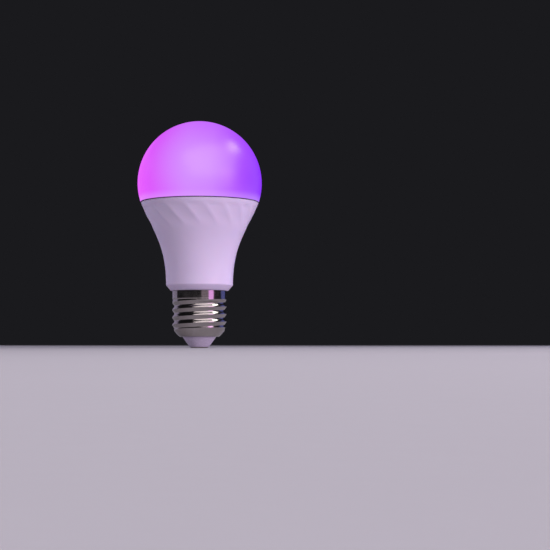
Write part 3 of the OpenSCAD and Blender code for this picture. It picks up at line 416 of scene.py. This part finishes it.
def contact_rivet():
    bm = bmesh.new()
    draw(bm, (0, 0.02), (2.6, 0.0), (CONTACT_R - 0.55, 0.0), (CONTACT_R - 0.28, 0.05),
         (CONTACT_R - 0.08, 0.2), (CONTACT_R, 0.42), (CONTACT_R, CONTACT_T), (SHANK_R, CONTACT_T),
         (SHANK_R, BOSS_TOP), (RIVET_R, BOSS_TOP), (RIVET_R, BOSS_TOP + 0.35), (SHANK_R, RIVET_TOP),
         (0, RIVET_TOP))
    turn(bm, 96)
    material = nickel_plated_brass("nickel_plated_contact", "BFB9B0", "A89F94", 0.2)
    piece(bm, "contact_rivet", material, ["centre_contact"])


opal_dome()
fluted_housing()
threaded_shell()
insulator_cone()
contact_rivet()


# ---- Finishes of the pieces inside ----

def dress(material, *names):
    """Gives a finished material to the CAD nodes that keep their own shape."""
    for name in names:
        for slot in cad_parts[name].material_slots:
            slot.link = "DATA"
            slot.material = material


def marked(material, mask, colour, rough, metal=False):
    """Lays a second finish over the first one wherever the mask is 1."""
    link = material.node_tree.links.new
    shader = material.node_tree.nodes["Principled BSDF"]
    under = shader.inputs["Base Color"].links[0].from_socket
    tint = add(material, "ShaderNodeMix",
               {FACTOR: mask, COLOUR_A: under, COLOUR_B: linear(colour)}, data_type="RGBA")
    link(tint.outputs[2], shader.inputs["Base Color"])
    under = shader.inputs["Roughness"].links[0].from_socket
    gloss = add(material, "ShaderNodeMix", {FACTOR: mask, NUMBER_A: under, NUMBER_B: rough})
    link(gloss.outputs[0], shader.inputs["Roughness"])
    if metal:
        link(mask, shader.inputs["Metallic"])


def raised(material, height, depth):
    """Adds relief of a depth in millimetres over the grain that is there already."""
    shader = material.node_tree.nodes["Principled BSDF"]
    under = shader.inputs["Normal"].links[0].from_socket
    bump = add(material, "ShaderNodeBump",
               {"Height": height, "Distance": depth * MM, "Normal": under})
    material.node_tree.links.new(bump.outputs[0], shader.inputs["Normal"])


def silicone_bead():
    # Grey silicone rubber, laid as a bead: dull and a little uneven; its dark grey is partly
    # painted shade for the gap at the seam, so the seam reads as a dark line
    dress(plastic("grey_silicone_and_seam_shade", "4A4650", "3C3842", 0.5,
                  grain=0.6, depth=0.02, ior=1.41), "diffuser_seal")


def pressed_aluminium():
    # Aluminium sheet, deep drawn: pale and bright, with faint upright lines from the draw
    material = metal("drawn_aluminium_sheet", "C8CACC", "B4B6B9", 0.3)
    tall = add(material, "ShaderNodeMapping", {"Vector": spot_on(material), "Scale": (1, 1, 0.03)})
    lines = add(material, "ShaderNodeTexNoise",
                {"Vector": tall.outputs[0], "Scale": 1 / (0.4 * MM), "Detail": 2.0})
    raised(material, lines.outputs[0], 0.01)
    dress(material, "heat_spreader")


def gap_pad():
    # Silicone filled with alumina, calendered: dull blue-grey with a weave of glass cloth showing
    material = plastic("alumina_filled_silicone", "9BA3AE", "8A929D", 0.7, ior=1.41)
    cloth = [add(material, "ShaderNodeTexWave",
                 {"Vector": spot_on(material), "Scale": wave_scale(0.6)},
                 bands_direction=way) for way in "XY"]
    weave = add(material, "ShaderNodeMath",
                {0: cloth[0].outputs[1], 1: cloth[1].outputs[1]}, operation="MULTIPLY")
    raised(material, weave.outputs[0], 0.03)
    dress(material, "thermal_pad")


def white_board():
    # White solder mask over round copper tracks: satin white, the tracks just raised and greyer
    material = plastic("white_solder_mask", "F0F0EC", "E6E6E1", 0.35)
    rings = add(material, "ShaderNodeTexWave",
                {"Vector": spot_on(material), "Scale": wave_scale(3.2)}, wave_type="RINGS",
                rings_direction="Z")
    track = add(material, "ShaderNodeMapRange",
                {"Value": rings.outputs[1], "From Min": 0.80, "From Max": 0.86})
    marked(material, track.outputs[0], "DADBD6", 0.3)
    raised(material, track.outputs[0], 0.035)
    dress(material, "light_board")


def green_board(name, pale, dark, track_colour, length, *nodes):
    # Green solder mask over copper tracks on glass epoxy: glossy deep green, with the tracks
    # paler and slightly raised where the copper shows through
    material = plastic(name, pale, dark, 0.25, grain=0.15, depth=0.004)
    upright = add(material, "ShaderNodeMapping",
                  {"Vector": spot_on(material), "Rotation": (math.radians(-90), 0, 0)})
    tracks = add(material, "ShaderNodeTexBrick",
                 {"Vector": upright.outputs[0], "Scale": 1.0, "Mortar Size": 0.12 * MM,
                  "Mortar Smooth": 0.1, "Brick Width": length * MM, "Row Height": 0.9 * MM},
                 offset=0.31, offset_frequency=3, squash=2.3, squash_frequency=4)
    marked(material, tracks.outputs[1], track_colour, 0.2)
    raised(material, tracks.outputs[1], 0.035)
    dress(material, *nodes)


def screw_zinc():
    # Zinc-plated steel with a clear passivation: bright blue-grey with patches of yellow-grey
    dress(metal("zinc_plated_steel", "B9BCC4", "ABA891", 0.22, grain=0.15), "board_screws")


def led_moulding():
    # White filled polyamide, transfer moulded: chalk-white and matt so that it throws light out
    dress(plastic("white_filled_polyamide", "F4F4F0", "E9E9E3", 0.5,
                  grain=0.08, depth=0.004), "white_led_frames", "colour_led_frames")


def phosphor():
    # Clear silicone full of yellow phosphor powder: egg-yolk yellow, softly speckled
    material = plastic("phosphor_filled_silicone", "F4CE34", "ECBE22", 0.3,
                       grain=0.05, depth=0.002, ior=1.41)
    specks = add(material, "ShaderNodeTexVoronoi",
                 {"Vector": spot_on(material), "Scale": 1 / (0.12 * MM)})
    speck = add(material, "ShaderNodeMapRange",
                {"Value": specks.outputs[0], "From Min": 0.15, "From Max": 0.3, "To Min": 0.5,
                 "To Max": 0.0})
    marked(material, speck.outputs[0], "DFA60F", 0.35)
    dress(material, "white_led_phosphor")


def clear_resin():
    # Clear silicone resin poured over the chips: water-clear, with a slight sag to its skin
    material = plastic("clear_silicone_resin", "DCE6EA", "CBD8DE", 0.1,
                       grain=0.8, depth=0.02, ior=1.41)
    material.node_tree.nodes["Principled BSDF"].inputs["Transmission Weight"].default_value = 0.3
    dress(material, "colour_led_resin")


def moulded_nylon():
    # Glass-filled nylon, injection moulded: cream or black, with a slightly dry, fibrous skin
    dress(plastic("cream_glass_filled_nylon", "EAE3D2", "DCD4C0", 0.5,
                  grain=0.12, depth=0.01, ior=1.53), "light_board_socket")
    dress(plastic("black_glass_filled_nylon", "2A2A2C", "202022", 0.5,
                  grain=0.12, depth=0.01, ior=1.53), "pin_strip", "radio_spacer")
    # Phenolic, compression moulded: near-black brown with a dull, grainy skin
    dress(plastic("dark_phenolic", "2B2624", "211D1B", 0.45,
                  grain=0.2, depth=0.01, ior=1.6), "transformer_bobbin")


def gold_and_tin():
    # Brass pins with a flash of gold: warm yellow, polished by the die
    dress(metal("gold_flashed_brass", "E2C168", "D0AB50", 0.2,
                grain=0.1), "light_board_pins", "radio_pins")
    # Tin-plated copper and steel: soft silver-white with a slightly cloudy, frosted skin
    dress(metal("tinned_wire", "CBCCCE", "B5B6B8", 0.24,
                grain=0.12, depth=0.006),
          "capacitor_leads", "transformer_pins", "through_hole_leads", "rectifier_legs",
          "chip_legs")
    # Tinplate, pressed: bright and flat with fine rolling lines along it
    material = metal("tinplate_can", "C8CACC", "B6B8BA", 0.22)
    rolled = add(material, "ShaderNodeMapping",
                 {"Vector": spot_on(material), "Scale": (0.04, 1, 1)})
    lines = add(material, "ShaderNodeTexNoise",
                {"Vector": rolled.outputs[0], "Scale": 1 / (0.12 * MM)})
    raised(material, lines.outputs[0], 0.003)
    dress(material, "radio_shield")


def capacitor_sleeve(name, node, pale, dark, stripe):
    # Shrunk PET film: a tight glossy skin, with a pale stripe down the side of the negative lead
    low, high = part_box(node)
    middle = [-(a + b) / 2 for a, b in zip(low, high)]
    material = plastic(name, pale, dark, 0.22, grain=0.5, depth=0.006, ior=1.57)
    centred = add(material, "ShaderNodeMapping",
                  {"Vector": spot_on(material), "Location": (middle[0], middle[1], 0)})
    round_it = add(material, "ShaderNodeTexGradient",
                   {"Vector": centred.outputs[0]}, gradient_type="RADIAL")
    across = add(material, "ShaderNodeMath",
                 {0: round_it.outputs[1], 1: 0.25, 2: 0.07}, operation="COMPARE")
    marked(material, across.outputs[0], stripe, 0.25)
    dress(material, node)


def capacitor_cans():
    # Pure aluminium, impact extruded: soft satin silver with rings from the die
    material = metal("extruded_aluminium_can", "CDCFD2", "BEC0C3", 0.28)
    rings = add(material, "ShaderNodeTexWave",
                {"Vector": spot_on(material), "Scale": wave_scale(0.3), "Distortion": 1.5},
                bands_direction="Z")
    raised(material, rings.outputs[1], 0.004)
    dress(material, "bulk_capacitor_can", "output_capacitor_can")
    # Butyl rubber, moulded: dead matt and slightly dusty
    dress(plastic("black_butyl_rubber", "252525", "1B1B1B", 0.8,
                  grain=0.2, depth=0.015, ior=1.5), "capacitor_bungs")


def ferrite():
    # Manganese-zinc ferrite, pressed, fired and ground: dark blue-grey and stony, with fine pits
    # shown only as painted shade, in darker specks
    material = plastic("ground_ferrite", "3A3B40", "2C2D32", 0.5, grain=0.15, depth=0.012, ior=2.3)
    pits = add(material, "ShaderNodeTexVoronoi",
               {"Vector": spot_on(material), "Scale": 1 / (0.5 * MM)})
    # Painted shade: the pits are darker specks with no relief
    pit_shade = add(material, "ShaderNodeMapRange",
              {"Value": pits.outputs[0], "From Min": 0.06, "From Max": 0.14, "To Min": 1.0,
               "To Max": 0.0})
    marked(material, pit_shade.outputs[0], "1C1C20", 0.8)
    dress(material, "transformer_core", "choke_core")


def windings():
    # Enamelled copper wire, close wound: each turn shows as a warm glossy ridge, with painted shade
    # darkening the crease between turns
    for name, node, wire in (("fine_enamelled_copper", "transformer_winding", 0.3),
                             ("thick_enamelled_copper", "choke_winding", 0.5)):
        material = metal(name, "C0703E", "A85A2E", 0.25)
        turns = add(material, "ShaderNodeTexWave",
                    {"Vector": spot_on(material), "Distortion": 0.4, "Scale": wave_scale(wire)},
                    bands_direction="Z")
        # Painted shade: the crease between neighbouring turns is darkened
        crease_shade = add(material, "ShaderNodeMapRange",
                  {"Value": turns.outputs[1], "From Min": 0.0, "From Max": 0.35, "To Min": 0.85,
                   "To Max": 0.0})
        marked(material, crease_shade.outputs[0], "3E1C0C", 0.5)
        raised(material, turns.outputs[1], wire * 0.4)
        dress(material, node)
    # Polyester tape, wrapped: smooth translucent yellow with the edge of each wrap faintly darker
    material = plastic("yellow_polyester_tape", "EBC83E", "E0B930", 0.2,
                       grain=0.6, depth=0.006, ior=1.57)
    wraps = add(material, "ShaderNodeTexWave",
                {"Vector": spot_on(material), "Distortion": 0.6, "Scale": wave_scale(2.4)},
                bands_direction="Z")
    edge = add(material, "ShaderNodeMapRange",
               {"Value": wraps.outputs[1], "From Min": 0.0, "From Max": 0.05, "To Min": 0.6,
                "To Max": 0.0})
    marked(material, edge.outputs[0], "B98F1E", 0.3)
    dress(material, "transformer_tape")


def boxed_and_dipped():
    # Film capacitor in a polybutylene case filled with resin: yellow, satin, square and clean
    dress(plastic("yellow_capacitor_case", "D9B92E", "CFAE26", 0.32,
                  grain=0.3, depth=0.008, ior=1.55), "film_capacitor")
    # Epoxy dipped over the disc: blue, glossy and gently wavy where the coat sagged
    dress(plastic("blue_dipped_epoxy", "2D58A6", "234A8E", 0.2,
                  grain=1.6, depth=0.06, ior=1.55), "varistor")
    # Black epoxy, transfer moulded: matt and even, with a fine spark-eroded texture
    dress(plastic("black_moulded_epoxy", "262628", "1D1D1F", 0.55,
                  grain=0.1, depth=0.006, ior=1.55),
          "bridge_rectifier", "switching_chip", "dimming_chip")
    # Flameproof lacquer on the fuse resistor: dull green, ringed with painted value bands
    low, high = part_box("fuse_resistor")
    material = plastic("flameproof_lacquer", "6A9A7C", "5A8A6C", 0.5, grain=0.4, depth=0.02)
    axes = add(material, "ShaderNodeSeparateXYZ", {"Vector": spot_on(material)}).outputs
    along = add(material, "ShaderNodeMapRange",
                {"Value": axes[2], "From Min": low[2], "From Max": high[2]})
    paint = add(material, "ShaderNodeValToRGB", {"Fac": along.outputs[0]})
    paint.color_ramp.interpolation = "CONSTANT"
    lacquer, band_w = "6A9A7C", 0.07
    for spot, code in ((0.20, "6B3B1E"), (0.36, "1C1C1C"), (0.52, "1C1C1C"), (0.72, "C9A545")):
        paint.color_ramp.elements.new(spot).color = linear(code)
        paint.color_ramp.elements.new(spot + band_w).color = linear(lacquer)
    for end in (0, -1):
        paint.color_ramp.elements[end].color = linear(lacquer)
    shader = material.node_tree.nodes["Principled BSDF"]
    cloudy = shader.inputs["Base Color"].links[0].from_socket
    coat = add(material, "ShaderNodeMix",
               {FACTOR: 0.75, COLOUR_A: cloudy, COLOUR_B: paint.outputs[0]}, data_type="RGBA")
    material.node_tree.links.new(coat.outputs[2], shader.inputs["Base Color"])
    dress(material, "fuse_resistor")


def tinned_ends(material, axis, middles, half):
    """A mask that is 1 on the ends of small parts whose middles lie at these places in metres."""
    spot = add(material, "ShaderNodeSeparateXYZ", {"Vector": spot_on(material)}).outputs[axis]
    near = None
    for middle in middles:
        off = add(material, "ShaderNodeMath", {0: spot, 1: middle}, operation="SUBTRACT").outputs[0]
        off = add(material, "ShaderNodeMath", {0: off}, operation="ABSOLUTE").outputs[0]
        near = off if near is None else add(material, "ShaderNodeMath",
                                            {0: near, 1: off}, operation="MINIMUM").outputs[0]
    return add(material, "ShaderNodeMath", {0: near, 1: half}, operation="GREATER_THAN").outputs[0]


def small_chips():
    # Thick-film resistors: a black glassy film on a white tile, with tinned ends
    material = plastic("thick_film_glaze", "22242E", "191B23", 0.2, grain=0.2, depth=0.004)
    columns = [x * MM for x in (-9.6, -5.4, 5.4, 9.6)]
    marked(material, tinned_ends(material, 0, columns, 1.12 * MM), "C9CACC", 0.3, metal=True)
    dress(material, "chip_resistors")
    # Barium titanate ceramic, fired: tan, dense and satin, with tinned ends
    low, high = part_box("chip_capacitors")
    material = plastic("fired_titanate_ceramic", "AB8D6E", "9A7C5E", 0.35,
                       grain=0.1, depth=0.004, ior=2.0)
    rows = (low[2] + 1 * MM, low[2] + 4 * MM, high[2] - 1 * MM)
    marked(material, tinned_ends(material, 2, rows, 0.62 * MM), "C9CACC", 0.3, metal=True)
    dress(material, "chip_capacitors")


def wires():
    # Silicone-rubber insulation, extruded: even colour, a soft gloss and a hint of flow along it
    dress(plastic("brown_wire_insulation", "7A4526", "6A3A1E", 0.4,
                  grain=0.5, depth=0.01, ior=1.43), "live_wire")
    dress(plastic("blue_wire_insulation", "2B4FA0", "234289", 0.4,
                  grain=0.5, depth=0.01, ior=1.43), "neutral_wire")


silicone_bead()
pressed_aluminium()
gap_pad()
white_board()
green_board("dark_green_solder_mask", "1B5038", "154029", "2C6B4C", 2.2, "radio_board")
green_board("green_solder_mask", "1F6236", "194F2B", "3A8450", 4.5, "driver_board")
screw_zinc()
led_moulding()
phosphor()
clear_resin()
moulded_nylon()
gold_and_tin()
capacitor_sleeve("black_shrink_film", "bulk_capacitor_sleeve", "1C1D26", "15161D", "B9BBC4")
capacitor_sleeve("dark_green_shrink_film", "output_capacitor_sleeve", "17382A", "102A1F", "B7C4BC")
capacitor_cans()
ferrite()
windings()
boxed_and_dipped()
small_chips()
wires()


# ---- Floor, light and camera ----

def floor():
    # Board painted a pale matt grey, big enough to reach past every view
    bm = bmesh.new()
    bmesh.ops.create_grid(bm, x_segments=1, y_segments=1, size=2.5)
    mesh = bpy.data.meshes.new("floor")
    bm.to_mesh(mesh)
    bm.free()
    material, shader = stuff("pale_matt_board", "BEBEC2", 0.85, Specular_IOR_Level=0.2)
    worn(material, shader, "C0C0C4", "BABABE", (0.8, 0.95), 1.5, 0.02, blotch=120.0)
    mesh.materials.append(material)
    made = bpy.data.objects.new("floor", mesh)
    bpy.context.scene.collection.objects.link(made)


def softbox(name, place, aim, size, power, tint="FFFFFF"):
    """Hangs a rectangular lamp at a place, turned to an aim. Sizes in metres, power in watts."""
    light = bpy.data.lights.new(name, "AREA")
    light.shape = "RECTANGLE"
    light.size, light.size_y = size
    light.energy = power
    light.color = linear(tint)[:3]
    made = bpy.data.objects.new(name, light)
    made.location = place
    made.rotation_euler = (Vector(aim) - Vector(place)).to_track_quat("-Z", "Y").to_euler()
    bpy.context.scene.collection.objects.link(made)
    return made


def camera():
    # Half a width of 132.85 mm is seen at the bulb, from 653 mm away
    distance, half_width = 0.653, 0.13285
    lens = bpy.data.cameras.new("camera")
    lens.sensor_width = 36
    lens.lens = lens.sensor_width / 2 / (half_width / distance)
    lens.clip_start = 0.005
    made = bpy.data.objects.new("camera", lens)
    made.location = (0, -distance, 0.002)
    aim = Vector((0.0365, 0, 0.0353))
    made.rotation_euler = (aim - made.location).to_track_quat("-Z", "Y").to_euler()
    bpy.context.scene.collection.objects.link(made)
    bpy.context.scene.camera = made


floor()
CAP, NECK, DOME = (0, 0, 0.03), (0, 0, 0.045), (0, 0, 0.09)
softbox("front", (0.218, -0.472, 0.467), CAP, (1.2, 0.72), 4.3, "FFF6FF")
softbox("strip_right", (0.61, -0.51, 0.18), CAP, (0.32, 0.42), 0.62, "EC9CFF")
softbox("strip_glow", (0.46, -0.65, 0.15), CAP, (0.85, 0.36), 0.26, "FFE6FF")
softbox("side_right", (0.69, 0.40, 0.20), CAP, (0.5, 0.5), 0.35, "8E96FF")
softbox("side_left", (-0.56, 0.56, 0.20), CAP, (0.8, 0.5), 0.55, "E0D4FF")
softbox("crown", (0.475, 0.07, 0.614), DOME, (0.26, 0.15), 0.8)
# These light the plastic from all round without showing in the metal
for name, place, power, tint in (("fill_right", (0.66, -0.66, 0.17), 2.4, "FFF6FF"),
                                 ("fill_left", (-0.78, -0.44, 0.17), 0.75, "F2EAFF"),
                                 ("rim_left", (-0.76, 0.54, 0.17), 2.8, "F0E8FF"),
                                 ("rim_right", (0.84, 0.38, 0.17), 2.2, "EADFFF")):
    softbox(name, place, NECK, (0.6, 0.3), power, tint).visible_glossy = False
world = bpy.data.worlds.new("studio")
world.use_nodes = True
world.node_tree.nodes["Background"].inputs[0].default_value = linear("1A1A1D")
world.node_tree.nodes["Background"].inputs[1].default_value = 1.0
bpy.context.scene.world = world
bpy.context.scene.view_settings.view_transform = "Standard"
camera()
